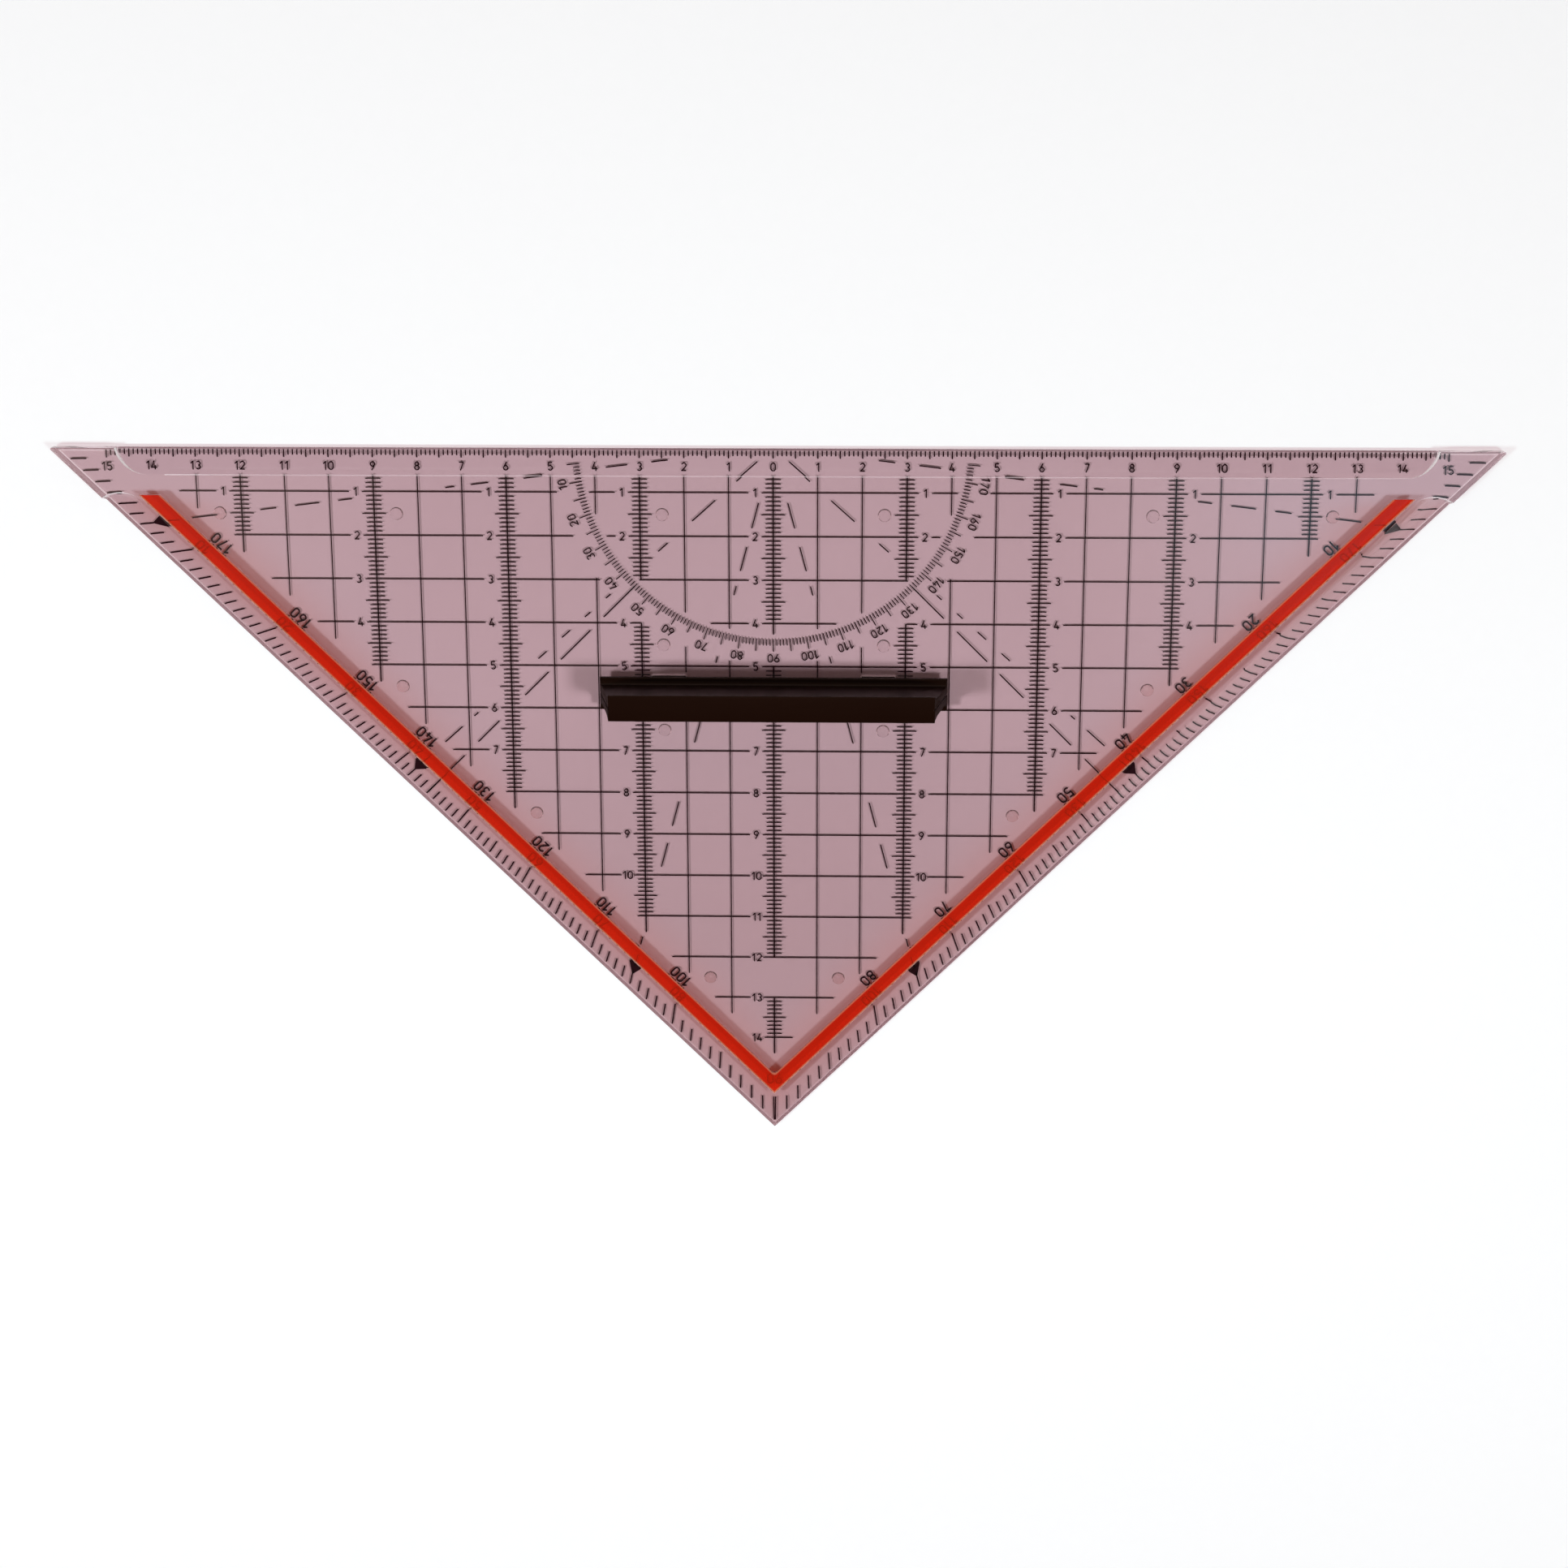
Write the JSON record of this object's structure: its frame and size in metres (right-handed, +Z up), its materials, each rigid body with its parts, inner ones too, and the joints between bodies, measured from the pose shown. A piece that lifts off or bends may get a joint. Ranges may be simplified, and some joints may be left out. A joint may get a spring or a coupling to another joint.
{
  "type": "drafting triangle",
  "caption": "Large clear set square with a protractor, bevelled edges, a red V-shaped stripe, printed scales underneath and a dark clip-in handle.",
  "frame": {"origin": "on the table under the middle of the plate's outline; the studs' tips stand at z = 0", "axes": "+X to the right along the ruling edge, +Y from the right-angled corner towards the ruling edge, +Z up through the handle"},
  "size_m": [0.3242, 0.1624, 0.0191],
  "materials": {
    "clear_acrylic": "clear, faintly rose-tinted, polished",
    "red_inlay": "glossy signal red, let-in",
    "dark_moulding": "satin black-brown moulding",
    "printed_ink": "dark printing ink on the underside"
  },
  "bodies": {
    "plate": {"plate": "clear_acrylic", "stripe": "red_inlay", "stud_01": "clear_acrylic", "stud_02": "clear_acrylic", "stud_03": "clear_acrylic", "stud_04": "clear_acrylic", "stud_05": "clear_acrylic", "stud_06": "clear_acrylic", "stud_07": "clear_acrylic", "stud_08": "clear_acrylic", "stud_09": "clear_acrylic", "stud_10": "clear_acrylic", "stud_11": "clear_acrylic", "stud_12": "clear_acrylic", "stud_13": "clear_acrylic", "stud_14": "clear_acrylic", "stud_15": "clear_acrylic", "stud_16": "clear_acrylic"},
    "handle": {"handle": "dark_moulding"}
  },
  "joints": [
    {"name": "handle_lift", "type": "slide", "parent": "plate", "child": "handle", "axis": [0, 0, 1], "range_m": [0, 0.025]}
  ]
}
